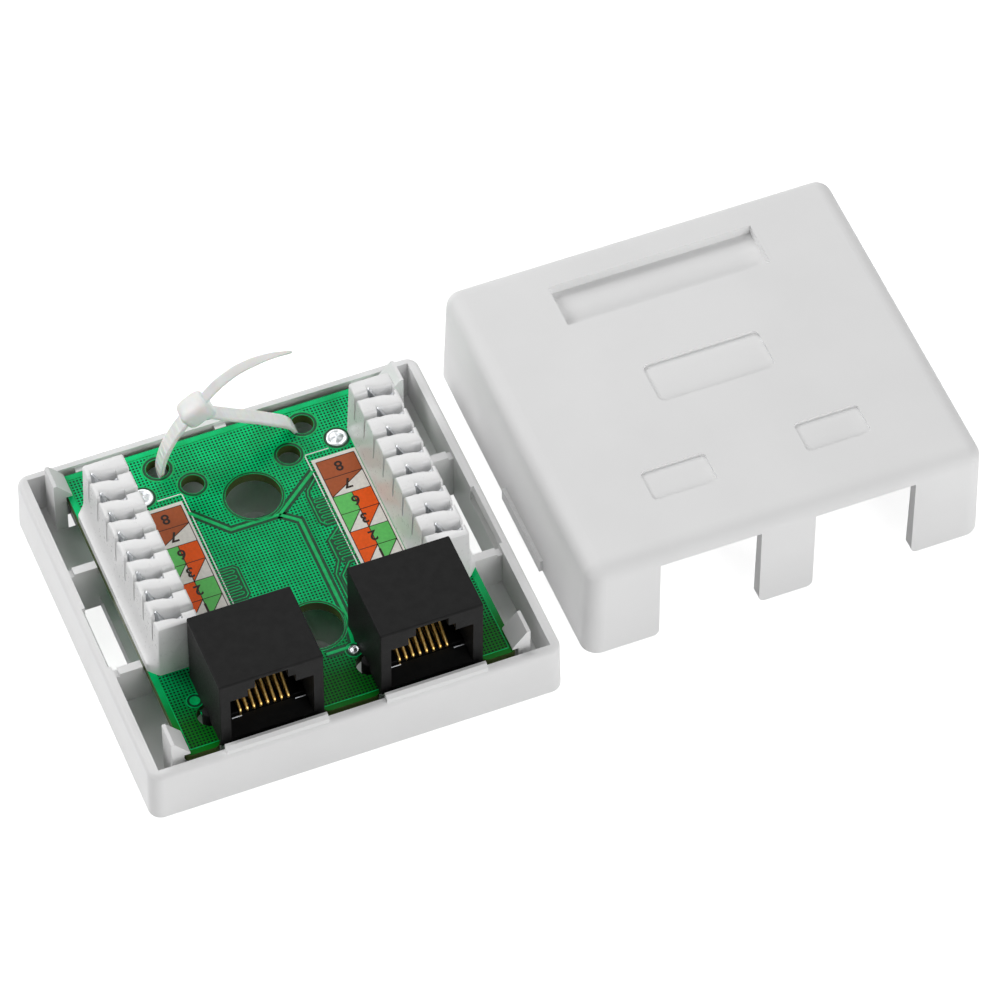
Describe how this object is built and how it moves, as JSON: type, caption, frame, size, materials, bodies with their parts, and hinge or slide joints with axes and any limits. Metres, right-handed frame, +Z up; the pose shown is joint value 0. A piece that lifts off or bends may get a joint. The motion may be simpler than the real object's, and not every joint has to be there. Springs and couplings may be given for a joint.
{
  "type": "surface mount jack box",
  "caption": "Open surface mount box: tray with circuit board, black data jacks, punch-down blocks and cable tie, the snap-fit lid standing beside it.",
  "frame": {"origin": "centre of the tray's underside", "axes": "+X along the front wall to the right, +Y to the back, +Z up; the jacks face -Y"},
  "size_m": [0.1274, 0.0591, 0.0274],
  "materials": {
    "shell_plastic": "fine matt moulded",
    "board_green": "solder mask over cross-hatched copper",
    "jack_black": "satin moulded",
    "insert_black": "glossy moulded",
    "block_white": "satin moulded",
    "label_paper": "printed label",
    "contact_gold": "gold plated",
    "blade_tin": "tin plated",
    "solder": "solder",
    "tie_nylon": "natural nylon"
  },
  "bodies": {
    "base": {"base_tray": "shell_plastic", "circuit_board": "board_green", "cable_tie": "tie_nylon", "left_jack_housing": "jack_black", "left_jack_insert": "insert_black", "left_punch_down_block": "block_white", "left_colour_label": "label_paper", "left_rear_land": "solder", "left_jack_land": "solder", "left_contact_1": "contact_gold", "left_blade_1": "blade_tin", "left_contact_2": "contact_gold", "left_blade_2": "blade_tin", "left_contact_3": "contact_gold", "left_blade_3": "blade_tin", "left_contact_4": "contact_gold", "left_blade_4": "blade_tin", "left_contact_5": "contact_gold", "left_blade_5": "blade_tin", "left_contact_6": "contact_gold", "left_blade_6": "blade_tin", "left_contact_7": "contact_gold", "left_blade_7": "blade_tin", "left_contact_8": "contact_gold", "left_blade_8": "blade_tin", "right_jack_housing": "jack_black", "right_jack_insert": "insert_black", "right_punch_down_block": "block_white", "right_colour_label": "label_paper", "right_rear_land": "solder", "right_jack_land": "solder", "right_contact_1": "contact_gold", "right_blade_1": "blade_tin", "right_contact_2": "contact_gold", "right_blade_2": "blade_tin", "right_contact_3": "contact_gold", "right_blade_3": "blade_tin", "right_contact_4": "contact_gold", "right_blade_4": "blade_tin", "right_contact_5": "contact_gold", "right_blade_5": "blade_tin", "right_contact_6": "contact_gold", "right_blade_6": "blade_tin", "right_contact_7": "contact_gold", "right_blade_7": "blade_tin", "right_contact_8": "contact_gold", "right_blade_8": "blade_tin"},
    "lid": {"cover": "shell_plastic"}
  },
  "joints": [
    {"name": "cover_lift", "type": "slide", "parent": "base", "child": "lid", "axis": [0, 0, 1], "range_m": [0, 0.045]}
  ]
}
